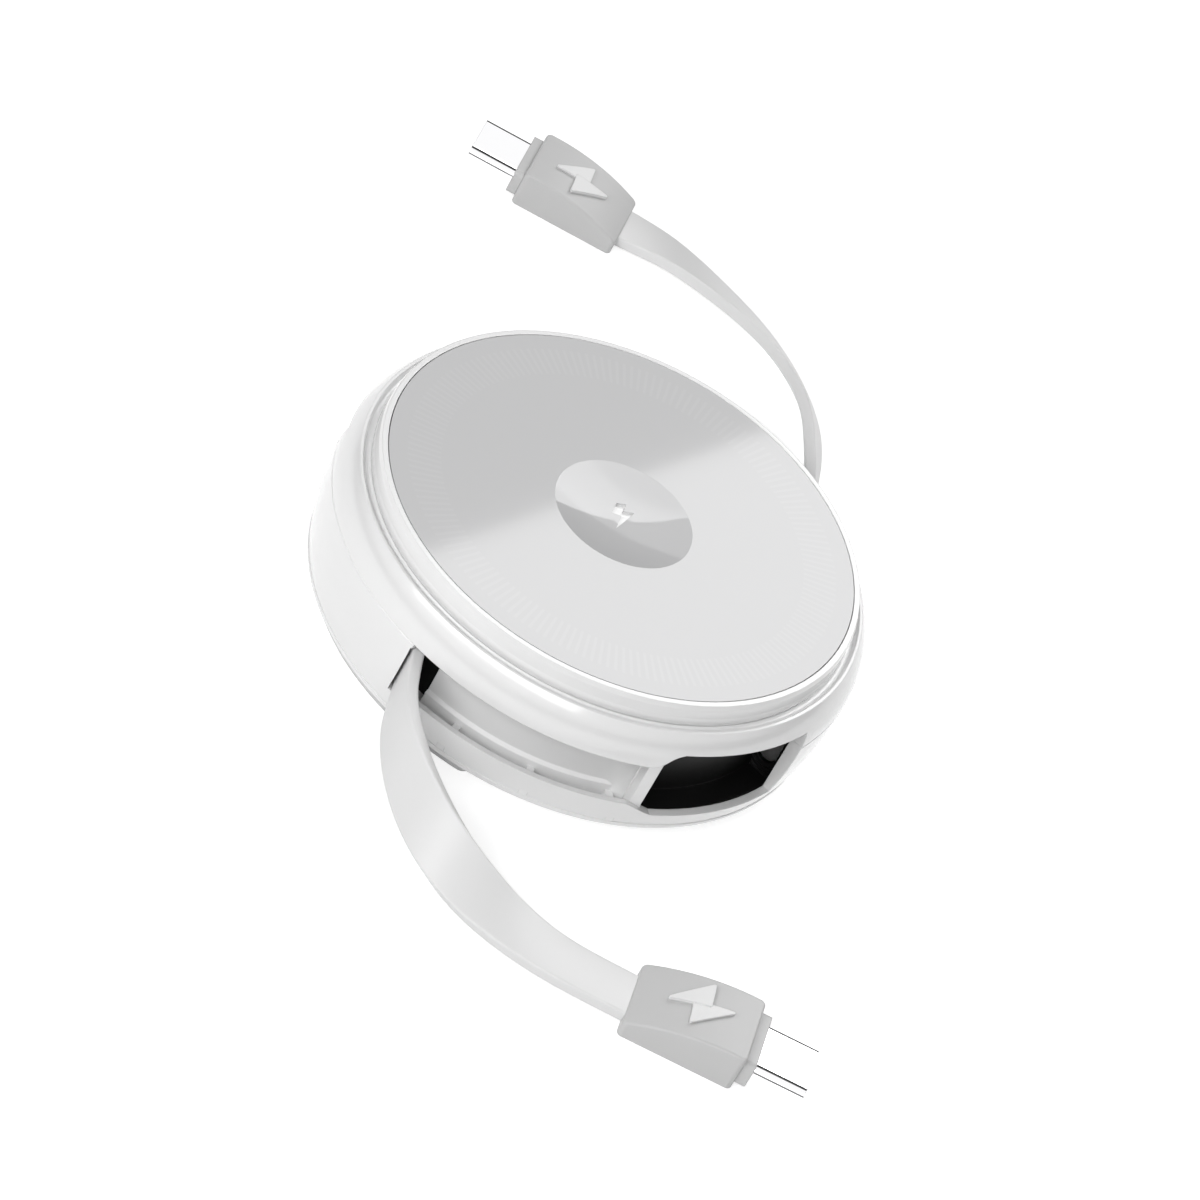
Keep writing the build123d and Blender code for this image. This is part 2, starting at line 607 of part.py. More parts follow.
def spool():
    """Bottom flange, hub and web, turned as one, with the latch track under the flange."""
    body = turned(
        (WELL_R, SPOOL_Z), (FLANGE_R, SPOOL_Z), (FLANGE_R, FLANGE_TOP), (HUB_R, FLANGE_TOP), (HUB_R, LID_Z),
        (WELL_R, LID_Z), (WELL_R, WEB_TOP), (BUSH_R + 1.2, WEB_TOP), (BUSH_R + 1.2, LID_Z), (BUSH_R, LID_Z),
        (BUSH_R, WEB_TOP - WEB_T), (WELL_R, WEB_TOP - WEB_T))
    track_out = TRACK_R + TRACK_W / 2
    body -= ring(track_out - TRACK_W, track_out, SPOOL_Z, SPOOL_Z + TRACK_DEPTH)
    for i in range(TRACK_NOTCHES):
        spot = at(track_out, 20 + i * 360 / TRACK_NOTCHES)
        body -= upright(BALL_R + 0.15, spot, SPOOL_Z, SPOOL_Z + TRACK_DEPTH)
    return body


def power_spring():
    """Flat spiral of half circles that widen by half a pitch each."""
    inner = ARBOR_R + 0.6
    pitch = (WELL_R - 0.3 - SPRING_T - inner) / SPRING_TURNS
    with BuildPart() as part:
        with BuildSketch(Plane.XY.offset(SPOOL_Z + 0.6)):
            with BuildLine():
                centre, radius, side = 0.0, inner, 1
                ends = []
                for i in range(2 * SPRING_TURNS):
                    near = CenterArc((centre, 0), radius, 0 if side > 0 else 180, 180)
                    far = CenterArc((centre, 0), radius + SPRING_T, 0 if side > 0 else 180, 180)
                    ends += [(near @ 0, far @ 0), (near @ 1, far @ 1)]
                    radius += pitch / 4
                    centre += side * pitch / 4
                    side = -side
                Line(*ends[0])
                Line(*ends[-1])
            make_face()
        extrude(amount=SPRING_H)
    return part.part


def contact_rings():
    half = RING_W / 2
    return Compound(children=[ring(r - half, r + half, LID_TOP + 0.5, LID_TOP + 0.6) for r in ring_radii()])


def latch_ball():
    return Pos(TRACK_R, 0, FLOOR_TOP + BALL_R) * Sphere(BALL_R)


# Flat cables

def corner_radii(points):
    """At each corner an arc as large as its two runs allow."""
    radii = []
    for a, b, c in zip(points, points[1:], points[2:]):
        before, after = b - a, c - b
        turn = before.get_angle(after)
        radii.append(0.45 * min(before.length, after.length) / tan(radians(turn) / 2))
    return radii


def tilt_at(route, share):
    """The tilt at a share of the route's length, eased between the route's points."""
    points = [Vector(*p[:3]) for p in route]
    steps = [(b - a).length for a, b in zip(points, points[1:])]
    place = share * sum(steps)
    for i, step in enumerate(steps):
        if place <= step or i == len(steps) - 1:
            part = min(place / step, 1.0)
            return route[i][3] + (route[i + 1][3] - route[i][3]) * part
        place -= step


def flat_cable(route, name):
    """A flat section carried along runs and arcs, turning from on edge to flat."""
    points = [Vector(*p[:3]) for p in route]
    radii = corner_radii(points)
    path = FilletPolyline(*points, radius=radii)
    faces = []
    for i in range(SECTIONS + 1):
        share = i / SECTIONS
        along = path % share
        level = Vector(0, 0, 1).cross(along).normalized() * -1
        up = along.cross(level).normalized() * -1
        if up.Z < 0:
            up = up * -1
        tilt = radians(tilt_at(route, share))
        wide = level * cos(tilt) - up * sin(tilt)
        plane = Plane(origin=path @ share, x_dir=wide, z_dir=along)
        faces.append(plane * chamfered_section())
    cable = loft(faces, ruled=True)
    area = chamfered_section().area
    print(name, "length", round(path.length, 2), "least radius", round(min(radii), 1))
    print(name, "radii", [round(r, 1) for r in radii])
    print(name, "volume", round(cable.volume, 1), "section x length", round(area * path.length, 1))
    return cable


def chamfered_section():
    with BuildSketch() as section:
        Rectangle(CABLE_W, CABLE_T)
        chamfer(section.vertices(), CABLE_EDGE)
    return section.sketch.face()


# Plugs

def grip():
    """Moulded grip: flat underside and a top that rises in a bow from the cable to the tip."""
    middle = (PLUG_L / 2, (PLUG_H + PLUG_TAIL_H) / 2 + PLUG_CROWN)
    with BuildPart() as part:
        with BuildSketch(Plane.XZ.offset(-PLUG_W / 2)):
            with BuildLine():
                draw(((0, 0), (PLUG_L, 0), (PLUG_L, PLUG_H), (middle, (0, PLUG_TAIL_H))))
            make_face()
        extrude(amount=PLUG_W)
        fillet(part.edges().filter_by(Axis.Z), PLUG_CORNER)
        fillet(part.faces().sort_by(Axis.Z)[-1].edges(), PLUG_EDGE)
    return part.part


def mark_half(turn):
    """One of the two pointed halves of the charging mark, round the middle of the grip's top."""
    points = [Vector(-4.15, -0.64), Vector(0.79, 3.71), Vector(1.04, -0.13)]
    with BuildPart() as part:
        with BuildSketch(Plane.XY):
            with Locations(Location((PLUG_L / 2 + 0.3, 0.3, 0), (0, 0, turn))):
                Polygon(*points, align=None)
            fillet(vertices(), 0.2)
        extrude(amount=2 * PLUG_H)
    return part.part


def plug_housing():
    """The grip with the mark's two halves raised on it, the first a little higher."""
    body = grip()
    high = mark_half(0)
    low = mark_half(180) - high
    return body + (low & (Pos(0, 0, MARK_LOW) * body)) + (high & (Pos(0, 0, MARK_HIGH) * body))


def plug_collar():
    with BuildPart() as part:
        with BuildSketch(Plane.YZ.offset(PLUG_L)):
            with Locations((0, TIP_Z)):
                RectangleRounded(COLLAR_W, COLLAR_H, 0.8)
        extrude(amount=COLLAR_L)
    return part.part - tip_block(TIP_W, TIP_H, COLLAR_L)


def tip_block(width, height, length):
    with BuildPart() as part:
        with BuildSketch(Plane.YZ.offset(PLUG_L)):
            with Locations((0, TIP_Z)):
                RectangleRounded(width, height, height / 2 - 0.02)
        extrude(amount=length)
    return part.part


def usb_shell():
    length = COLLAR_L + TIP_L
    return tip_block(TIP_W, TIP_H, length) - tip_block(TIP_W - 2 * TIP_WALL, TIP_H - 2 * TIP_WALL, length)


def usb_insulator():
    """Black liner of the tip with the slot that takes the tongue of a socket."""
    length = COLLAR_L + TIP_L - 0.6
    liner = tip_block(TIP_W - 2 * TIP_WALL, TIP_H - 2 * TIP_WALL, length)
    slot = Pos(PLUG_L + 1.5, 0, TIP_Z) * Box(length, 6.7, 0.95, align=(Align.MIN, Align.CENTER, Align.CENTER))
    return liner - slot


def usb_contacts():
    """Two rows of contact strips on the slot's walls."""
    strips = []
    for side in (-1, 1):
        for i in range(CONTACTS):
            y = (i - (CONTACTS - 1) / 2) * CONTACT_PITCH
            strip = Box(4.2, 0.26, 0.12, align=(Align.MIN, Align.CENTER, Align.CENTER))
            strips.append(Pos(PLUG_L + 2.2, y, TIP_Z + side * 0.415) * strip)
    return Compound(children=strips)


PLUG_PIECES = (("plug_housing", plug_housing), ("plug_collar", plug_collar), ("usb_shell", usb_shell),
               ("usb_insulator", usb_insulator), ("usb_contacts", usb_contacts))


def at_cable_end(solid, route):
    """Sets a plug's piece down on the floor at a cable's end, in line with its last run."""
    before, end = Vector(*route[-2][:2]), Vector(*route[-1][:2])
    run = end - before
    return Location((end.X, end.Y, 0), (0, 0, degrees(atan2(run.Y, run.X)))) * solid


def main():
    os.makedirs("parts", exist_ok=True)
    nodes = {
        "top_panel": top_panel(),
        "pad_bezel": pad_bezel(),
        "alignment_magnets": alignment_magnets(),
        "charging_coil": charging_coil(),
        "ferrite_shield": ring(COIL_IN_R - 0.8, FERRITE_R, BOARD_TOP, FERRITE_TOP),
        "circuit_board": circuit_board(),
        "board_components": board_components(),
        "contact_carrier": contact_slot(0),
        "contact_springs": contact_springs(),
        "upper_shell": upper_shell(),
        "lower_shell": lower_shell(),
        "front_dock_liner": dock_liner(*BAYS[0][:2]),
        "back_dock_liner": dock_liner(*BAYS[1][:2]),
        "reel_cage": reel_cage(),
        "axle_pin": axle_pin(),
        "axle_screw": axle_screw(),
        "spring_arbor": spring_arbor(),
        "spool_washer": spool_washer(),
        "spool": spool(),
        "spool_bush": ring(AXLE_R + RUN_GAP, BUSH_R, WEB_TOP - WEB_T, LID_Z),
        "spool_lid": ring(BUSH_R, FLANGE_R, LID_Z, LID_TOP),
        "spring_cover": ring(ARBOR_R + 0.5, WELL_R - 0.1, SPOOL_Z, SPOOL_Z + 0.5),
        "power_spring": power_spring(),
        "slip_ring_board": ring(BUSH_R + 0.2, ring_radii()[-1] + 1.6, LID_TOP, LID_TOP + 0.5),
        "contact_rings": contact_rings(),
        "cable_windings": ring(HUB_R, WOUND_R, FLANGE_TOP, FLANGE_TOP + CABLE_W),
        "latch_ball": latch_ball(),
        "front_cable": flat_cable(FRONT_ROUTE, "front cable"),
        "back_cable": flat_cable(BACK_ROUTE, "back cable"),
    }
    for azimuth, side in zip(foot_places(), ("front", "right", "left")):
        nodes[side + "_foot"] = foot(azimuth, FOOT_GAP)
    for side, route in (("front", FRONT_ROUTE), ("back", BACK_ROUTE)):
        for piece, make in PLUG_PIECES:
            nodes[side + "_" + piece] = at_cable_end(make(), route)
    for name, solid in nodes.items():
        export_step(solid, "parts/" + name + ".step")


main()
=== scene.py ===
import json
from math import atan2, cos, pi, radians, sin, tau

import bpy
from mathutils import Matrix, Vector


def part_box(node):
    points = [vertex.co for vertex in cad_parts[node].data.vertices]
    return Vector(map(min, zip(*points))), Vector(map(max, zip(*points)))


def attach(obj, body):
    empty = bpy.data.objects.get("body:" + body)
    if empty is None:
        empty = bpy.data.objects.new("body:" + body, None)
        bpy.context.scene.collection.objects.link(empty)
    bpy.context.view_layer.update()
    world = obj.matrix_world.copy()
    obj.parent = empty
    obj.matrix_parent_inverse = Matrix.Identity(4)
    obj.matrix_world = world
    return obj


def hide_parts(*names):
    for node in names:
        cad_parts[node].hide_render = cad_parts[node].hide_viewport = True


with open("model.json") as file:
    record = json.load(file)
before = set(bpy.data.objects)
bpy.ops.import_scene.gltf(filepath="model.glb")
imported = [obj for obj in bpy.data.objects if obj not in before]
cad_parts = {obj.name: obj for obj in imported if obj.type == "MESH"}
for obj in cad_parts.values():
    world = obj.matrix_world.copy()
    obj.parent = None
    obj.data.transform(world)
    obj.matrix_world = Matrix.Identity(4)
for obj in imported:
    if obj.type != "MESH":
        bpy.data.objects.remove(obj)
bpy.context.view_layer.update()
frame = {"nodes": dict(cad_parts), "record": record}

MM = 0.001

# Camera of the photograph
LENS = 181.73             # mm on a 36 mm sensor
SENSOR = 36.0
DISTANCE = 0.708          # from the camera to the middle of the panel
ELEVATION = 37.634
ROLL = 29.628
PICTURE = 1200            # the picture's width, for the two values below
PANEL_AT = (624.06, 513.85)

# Grip and panel, as in the model
GRIP_BOW = ((0, 2.0), (7.15, 4.45), (14.3, 5.0))     # three points (along, height) of the grip's top
DISH_DEPTH = 0.95
# Painted light: the bolt mark's raised tops on the grips and its sunk floor in the dish are painted this
# lighter grey, standing in for the light they catch.
MARK_PAINTED_LIGHT = (0.82, 0.82, 0.82)
RAISED_STEP = (0.1 * MM, 0.3 * MM)      # the colour changes over this much height above the grip's top
SUNK_STEP = (0.02 * MM, 0.06 * MM)      # and over this much depth below the dish

# Ring of fine radial lines in the panel
RING_LINES = 170
RING_REACH = (22.9, 27.3)
RING_FADE = 0.2 * MM      # soft ends
RING_LINE = (0.16, 0.24)  # half a line's width, as a share of the step from line to line, and its soft edge
RING_COLOR = (0.58, 0.58, 0.585)

# Turned rings: steps round, and the angle in degrees from which an edge is sharp
RING_STEPS = 256
RING_SPLIT = 50

# Hollow between bezel and shoulder: radii and heights in millimetres
NECK_IN = 30.46
NECK_OUT = 31.48
NECK_TOP = 17.12
NECK_LOW = 16.42
NECK_DEPTH = 0.42
NECK_STEPS = 12

# Lip round the case's bottom edge, and the arc of the wall above it as (r, z)
WALL_ARC = ((32.35, 1.65), (33.45, 7.15), (33.65, 12.51))
LIP_HEIGHTS = (1.65, 1.85, 2.05, 2.2)
LIP_PROUD = 0.1
LIP_TOP = 0.05            # from the last of the heights to the lip's flat top

# Light
WORLD_LEVEL = 0.26
# Where gloss sees dark: where a direction's share along the axis is under the first number. It sees white
# over the second number, and the last is the shade of the dark. In turn: low down all round, the far side up
# to the large lamp, and a patch overhead.
DARK_SIDES = (
    ((0, 0, 1), 0.18, 0.25, 0.02),
    ((0, -0.42, 0.91), 0.08, 0.12, 0.02),
    ((0, -0.28, -0.96), -0.93, -0.9, 0.05),
)
FLOOR_REACH = 3.0
FLOOR_COLOR = (0.80, 0.80, 0.80)    # as it lights the object
FLOOR_SHADE = 0.58        # as it is seen: what its own light and its glow add up to is white
FLOOR_GLOW = 0.7
EDGE_RISE = 36.8          # height of the panel lamp's edge as the panel mirrors it, in degrees
EDGE_LEAN = 49.5          # lean of that edge, in degrees
PANEL_LAMP = (0.6, 0.5)   # sizes and places of lamps in metres, powers in watts
PANEL_LAMP_AT = 0.8
PANEL_LAMP_POWER = 3.1
LAMPS_FACE = (0, 0, 0.01)
KEY_AT = (-0.22, -0.66, 0.53)
FILL_AT = (-0.32, -0.62, 0.5)
KEY_SIZE = (1.2, 0.22)
KEY_POWER = 3.9
FILL_POWER = 1.9

# Flat cables, as in the model: millimetres and the tilt in degrees, 90 on edge and 0 flat
CABLE_W = 6.8
CABLE_T = 1.5
CABLE_ROUND = 0.3         # radius of the cable's edges
CABLE_ROUND_STEPS = 4
CABLE_SPLIT = 60          # angle in degrees from which an edge is sharp
FRONT_ROUTE = [
    (-21.9, -8.4, 8.35, 90), (-18.0, -16.5, 8.35, 90), (-13.4, -25.0, 8.35, 90), (-12.3, -31.6, 8.35, 90),
    (-11.0, -37.2, 7.8, 84), (-7.7, -42.3, 6.7, 74), (-3.1, -46.4, 5.0, 60), (2.4, -49.5, 3.4, 42),
    (8.5, -51.5, 2.1, 18), (14.8, -52.4, 1.3, 4), (21.1, -52.45, 1.02, 0), (27.4, -51.9, 1.0, 0),
]
BACK_ROUTE = [
    (23.4, 3.4, 8.35, 90), (21.9, 14.9, 8.35, 90), (20.1, 26.2, 8.35, 90), (18.7, 35.6, 8.1, 77),
    (17.1, 44.4, 7.4, 61), (15.1, 52.6, 6.2, 53), (11.9, 59.5, 4.9, 46), (7.3, 65.6, 3.8, 38),
    (1.8, 70.2, 3.0, 29), (-4.1, 73.6, 2.2, 21), (-9.4, 76.0, 1.6, 13), (-14.0, 77.3, 1.1, 4),
    (-18.3, 77.15, 1.0, 0),
]


# Camera

def place_camera():
    """Sets the camera up from its angles and distance, with the panel's middle where the photo has it."""
    low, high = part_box("top_panel")
    target = Vector(((low[0] + high[0]) / 2, (low[1] + high[1]) / 2, high[2]))
    e, roll = radians(ELEVATION), radians(ROLL)
    level = Matrix(((1, 0, 0), (0, -sin(e), -cos(e)), (0, cos(e), -sin(e))))
    rolled = Matrix(((cos(roll), -sin(roll), 0), (sin(roll), cos(roll), 0), (0, 0, 1)))
    focal = LENS / SENSOR * PICTURE
    across, down = [(at - PICTURE / 2) / focal for at in PANEL_AT]
    toward = Vector((across, down, 1)).normalized()
    to_camera = Vector((0, 0, 1)).rotation_difference(toward).to_matrix() @ rolled @ level
    place = target - to_camera.transposed() @ (toward * DISTANCE)
    data = bpy.data.cameras.new("camera")
    data.lens, data.sensor_width, data.clip_start = LENS, SENSOR, 0.01
    camera = bpy.data.objects.new("camera", data)
    axes = (to_camera.transposed() @ Matrix.Diagonal((1, -1, -1))).to_4x4()
    camera.matrix_world = Matrix.Translation(place) @ axes
    bpy.context.scene.collection.objects.link(camera)
    bpy.context.scene.camera = camera


# Mesh helpers

def add_mesh(name, points, faces, material, smooth=True):
    mesh = bpy.data.meshes.new(name)
    mesh.from_pydata([tuple(p) for p in points], [], faces)
    mesh.update()
    for face in mesh.polygons:
        face.use_smooth = smooth
    obj = bpy.data.objects.new(name, mesh)
    mesh.materials.append(material)
    bpy.context.scene.collection.objects.link(obj)
    return obj


def spline_points(name, points):
    """The points of a smooth curve with these control points, as Blender's own spline gives them."""
    data = bpy.data.curves.new(name, "CURVE")
    data.dimensions = "3D"
    spline = data.splines.new("NURBS")
    spline.points.add(len(points) - 1)
    for place, point in zip(points, spline.points):
        point.co = (*place, 1)
    spline.order_u = 3
    spline.use_endpoint_u = True
    spline.resolution_u = 14
    obj = bpy.data.objects.new(name, data)
    bpy.context.scene.collection.objects.link(obj)
    mesh = bpy.data.meshes.new_from_object(obj)
    found = [v.co.copy() for v in mesh.vertices]
    bpy.data.objects.remove(obj)
    return found


# Materials

class Nodes:
    """A tree of shader nodes, with short ways to add, join and work out values."""

    def __init__(self, tree):
        self.tree = tree

    def node(self, kind, **settings):
        """A new node. A setting that is one of its inputs fills that input, and any other is a property."""
        node = self.tree.nodes.new("ShaderNode" + kind)
        for key, value in settings.items():
            if key in node.inputs:
                node.inputs[key].default_value = value
            else:
                setattr(node, key, value)
        return node

    def link(self, source, output, target, field):
        self.tree.links.new(source.outputs[output], target.inputs[field])
        return target

    def math(self, operation, first, second=None):
        """A Math node on sockets or plain numbers, and its result as a socket."""
        node = self.node("Math", operation=operation)
        for field, value in enumerate((first, second)):
            if isinstance(value, (int, float)):
                node.inputs[field].default_value = value
            elif value is not None:
                self.tree.links.new(value, node.inputs[field])
        return node.outputs[0]

    def step(self, value, low, high, floor=0.0):
        """The floor's value below low, 1 above high, and a soft step between them."""
        ramp = self.node("MapRange", interpolation_type="SMOOTHSTEP")
        ramp.inputs["From Min"].default_value = low
        ramp.inputs["From Max"].default_value = high
        ramp.inputs["To Min"].default_value = floor
        self.tree.links.new(value, ramp.inputs["Value"])
        return ramp.outputs["Result"]

    def place(self):
        """Where a point is on the piece, as X, Y and Z sockets."""
        place = self.node("TexCoord")
        parts = self.node("SeparateXYZ")
        self.link(place, "Object", parts, "Vector")
        return parts.outputs["X"], parts.outputs["Y"], parts.outputs["Z"]

    def mirrored(self, rays):
        """1 on the rays that gloss and clear material send out."""
        return self.math("MAXIMUM", rays.outputs["Is Glossy Ray"], rays.outputs["Is Transmission Ray"])


class Paint(Nodes):
    """A procedural material: a Principled shader whose inputs are filled in by name."""

    def __init__(self, name, color, roughness, **inputs):
        self.material = bpy.data.materials.new(name)
        self.material.use_nodes = True
        super().__init__(self.material.node_tree)
        self.shader = self.tree.nodes["Principled BSDF"]
        self.shader.inputs["Base Color"].default_value = (*color, 1)
        self.shader.inputs["Roughness"].default_value = roughness
        for key, value in inputs.items():
            self.shader.inputs[key.replace("_", " ")].default_value = value

    def edges(self, radius):
        """Softens the sharp edges of a moulded or pressed piece, as the light sees them."""
        bevel = self.node("Bevel", Radius=radius, samples=4)
        self.link(bevel, "Normal", self.shader, "Normal")
        self.link(bevel, "Normal", self.shader, "Coat Normal")
        return self

    def grain(self, scale, depth, detail, roughness_swing):
        """Fine moulded grain: a small bump, and a slight change in gloss."""
        place = self.node("TexCoord")
        noise = self.node("TexNoise", Scale=scale, Detail=detail)
        self.link(place, "Object", noise, "Vector")
        bump = self.node("Bump", Strength=1.0, Distance=depth)
        self.link(noise, "Fac", bump, "Height")
        for link in self.shader.inputs["Normal"].links:
            self.tree.links.new(link.from_socket, bump.inputs["Normal"])
        self.link(bump, "Normal", self.shader, "Normal")
        base = self.shader.inputs["Roughness"].default_value
        spread = self.node("MapRange")
        spread.inputs["To Min"].default_value = base - roughness_swing
        spread.inputs["To Max"].default_value = base + roughness_swing
        self.link(noise, "Fac", spread, "Value")
        self.link(spread, "Result", self.shader, "Roughness")
        return self

    def second_color(self, mask, color):
        """Another colour where the mask is 1."""
        mix = self.node("MixRGB")
        mix.inputs["Color1"].default_value = self.shader.inputs["Base Color"].default_value
        for link in self.shader.inputs["Base Color"].links:
            self.tree.links.new(link.from_socket, mix.inputs["Color1"])
        mix.inputs["Color2"].default_value = (*color, 1)
        self.tree.links.new(mask, mix.inputs["Fac"])
        self.link(mix, "Color", self.shader, "Base Color")
        return self


def raised_mark_painted_highlight(paint, route):
    """Painted highlight: the mark's raised halves, what stands above the grip's bowed top, are painted
    lighter than the grip, standing in for the light their tops catch.
    """
    (x0, y0), (x1, y1) = route[-2][:2], route[-1][:2]
    place = paint.node("TexCoord")
    shift = paint.node("VectorMath", operation="SUBTRACT")
    shift.inputs[1].default_value = (x1 * MM, y1 * MM, 0)
    turn = paint.node("VectorRotate", rotation_type="Z_AXIS", Angle=-atan2(y1 - y0, x1 - x0))
    parts = paint.node("SeparateXYZ")
    paint.link(place, "Object", shift, 0)
    paint.link(shift, "Vector", turn, "Vector")
    paint.link(turn, "Vector", parts, "Vector")
    along, height, radius = bow_circle()
    across = paint.math("SUBTRACT", parts.outputs["X"], along)
    bow = paint.math("SQRT", paint.math("SUBTRACT", radius ** 2, paint.math("MULTIPLY", across, across)))
    above = paint.math("SUBTRACT", parts.outputs["Z"], paint.math("ADD", bow, height))
    return paint.second_color(paint.step(above, *RAISED_STEP), MARK_PAINTED_LIGHT)


def bow_circle():
    """Middle (along, height) and radius of the arc of the grip's top, in metres."""
    (ax, az), (bx, bz), (cx, cz) = [(x * MM, z * MM) for x, z in GRIP_BOW]
    d = 2 * (ax * (bz - cz) + bx * (cz - az) + cx * (az - bz))
    a2, b2, c2 = ax * ax + az * az, bx * bx + bz * bz, cx * cx + cz * cz
    along = (a2 * (bz - cz) + b2 * (cz - az) + c2 * (az - bz)) / d
    height = (a2 * (cx - bx) + b2 * (ax - cx) + c2 * (bx - ax)) / d
    return along, height, ((ax - along) ** 2 + (az - height) ** 2) ** 0.5


def sunk_mark_painted_light(paint):
    """Painted light: the mark sunk in the dish is painted lighter than the panel, against the shade that
    falls in its hollow.
    """
    z = paint.place()[2]
    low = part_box("top_panel")[1][2] - DISH_DEPTH * MM
    depth = paint.math("SUBTRACT", low, z)
    return paint.second_color(paint.step(depth, *SUNK_STEP), MARK_PAINTED_LIGHT)


def line_ring(paint):
    """A faint ring of fine radial lines in the panel, over its magnets."""
    x, y, _ = paint.place()
    turn = paint.math("MULTIPLY", paint.math("ARCTAN2", y, x), RING_LINES / tau)
    saw = paint.math("ABSOLUTE", paint.math("SUBTRACT", paint.math("FRACT", turn), 0.5))
    reach = paint.math("SQRT", paint.math("ADD", paint.math("MULTIPLY", x, x), paint.math("MULTIPLY", y, y)))
    middle, half = (RING_REACH[0] + RING_REACH[1]) / 2 * MM, (RING_REACH[1] - RING_REACH[0]) / 2 * MM
    off = paint.math("ABSOLUTE", paint.math("SUBTRACT", reach, middle))
    inside = paint.math("SUBTRACT", 1.0, paint.step(off, half - RING_FADE, half))
    line = paint.math("SUBTRACT", 1.0, paint.step(saw, *RING_LINE))
    return paint.second_color(paint.math("MULTIPLY", inside, line), RING_COLOR)


def plug_paint(name, edge):
    """Soft grey of the grips and collars. Each grip has one of its own, for the painted highlight on its
    mark.
    """
    return Paint(name, (0.57, 0.57, 0.57), 0.4).edges(edge).grain(2600, 4e-6, 3.0, 0.05)


def make_paints():
    """One material for each slot of the record, and one for each grip."""
    paints = {
        "white_shell": Paint("white_shell", (0.84, 0.84, 0.84), 0.3, Coat_Weight=1.0, Coat_Roughness=0.12)
        .edges(0.15 * MM).grain(1400, 2e-6, 2.0, 0.03),
        "grey_panel": Paint("grey_panel", (0.562, 0.562, 0.567), 0.5, Coat_Weight=1.0, Coat_Roughness=0.045,
                            Specular_IOR_Level=0.25),
        "plug_grey": plug_paint("plug_grey", 0.2 * MM),
        "front_plug": plug_paint("front_plug", 0.12 * MM),
        "back_plug": plug_paint("back_plug", 0.12 * MM),
        "cable_grey": Paint("cable_grey", (0.77, 0.77, 0.77), 0.36).grain(1800, 3e-6, 3.0, 0.05),
        "bright_metal": Paint("bright_metal", (0.98, 0.98, 0.99), 0.05, Metallic=1.0).edges(0.1 * MM)
        .grain(3000, 2e-7, 1.0, 0.01),
        "steel": Paint("steel", (0.55, 0.55, 0.56), 0.32, Metallic=1.0).grain(2500, 4e-6, 2.0, 0.06),
        "black_plastic": Paint("black_plastic", (0.006, 0.006, 0.006), 0.4, Specular_IOR_Level=0.25)
        .edges(0.15 * MM).grain(2400, 3e-6, 3.0, 0.06),
        "contact_metal": Paint("contact_metal", (0.83, 0.62, 0.28), 0.2, Metallic=1.0)
        .grain(3000, 2e-6, 1.0, 0.03),
        "copper": Paint("copper", (0.72, 0.30, 0.15), 0.25, Metallic=1.0).grain(3000, 3e-6, 1.0, 0.04),
        "ferrite": Paint("ferrite", (0.03, 0.03, 0.032), 0.6).grain(1500, 8e-6, 4.0, 0.08),
        "board_green": Paint("board_green", (0.02, 0.16, 0.07), 0.35).grain(1800, 4e-6, 2.0, 0.05),
        "chip_black": Paint("chip_black", (0.02, 0.02, 0.02), 0.5).grain(2600, 5e-6, 2.0, 0.05),
        "reel_plastic": Paint("reel_plastic", (0.72, 0.72, 0.70), 0.45).grain(1800, 6e-6, 3.0, 0.05),
        "foot_rubber": Paint("foot_rubber", (0.60, 0.60, 0.60), 0.7).edges(0.2 * MM)
        .grain(2200, 1e-5, 4.0, 0.05),
    }
    # Painted light on the marks: the grips' raised marks and the panel's sunk mark are painted lighter.
    raised_mark_painted_highlight(paints["front_plug"], FRONT_ROUTE)
    raised_mark_painted_highlight(paints["back_plug"], BACK_ROUTE)
    sunk_mark_painted_light(line_ring(paints["grey_panel"])).grain(2200, 1e-6, 2.0, 0.02)
    return {name: paint.material for name, paint in paints.items()}


def paint_nodes(paints):
    """Every node of the model gets the material that the record names for it."""
    for part in frame["record"]["subparts"]:
        name = part["node"]
        slot = name.replace("_housing", "") if name.endswith("plug_housing") else part["material_slot"]
        node = frame["nodes"][name]
        node.data.materials.clear()
        node.data.materials.append(paints[slot])


# Cables

def cable_section():
    """Points round the cable's section, anticlockwise: (across the width, across the thickness)."""
    points = []
    for quarter, (sx, sy) in enumerate(((1, 1), (-1, 1), (-1, -1), (1, -1))):
        for step in range(CABLE_ROUND_STEPS + 1):
            angle = (quarter + step / CABLE_ROUND_STEPS) * pi / 2
            points.append((sx * (CABLE_W / 2 - CABLE_ROUND) + CABLE_ROUND * cos(angle),
                           sy * (CABLE_T / 2 - CABLE_ROUND) + CABLE_ROUND * sin(angle)))
    return points


def flat_cable(side, route, material):
    """A flat cable that turns from on edge to flat as it follows its route."""
    path = spline_points(side + "_path", [[v * MM for v in p[:3]] for p in route])
    tilts = [v.x for v in spline_points(side + "_tilt", [(radians(p[3]), 0, 0) for p in route])]
    section = cable_section()
    n = len(section)
    points, faces = [], []
    for i, (middle, tilt) in enumerate(zip(path, tilts)):
        along = (path[min(i + 1, len(path) - 1)] - path[max(i - 1, 0)]).normalized()
        outward = along.cross(Vector((0, 0, 1))).normalized()
        up = outward.cross(along)
        wide = outward * cos(tilt) - up * sin(tilt)
        thick = outward * sin(tilt) + up * cos(tilt)
        points += [middle + wide * (w * MM) + thick * (t * MM) for w, t in section]
        if i:
            faces += [((i - 1) * n + k, (i - 1) * n + (k + 1) % n, i * n + (k + 1) % n, i * n + k)
                      for k in range(n)]
    faces.append(tuple(reversed(range(n))))
    faces.append(tuple((len(path) - 1) * n + k for k in range(n)))
    cable = add_mesh(side + "_flat_cable", points, faces, material)
    cable.modifiers.new("edges", "EDGE_SPLIT").split_angle = radians(CABLE_SPLIT)
    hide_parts(side + "_cable")
    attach(cable, "case")


# Small forms of the case

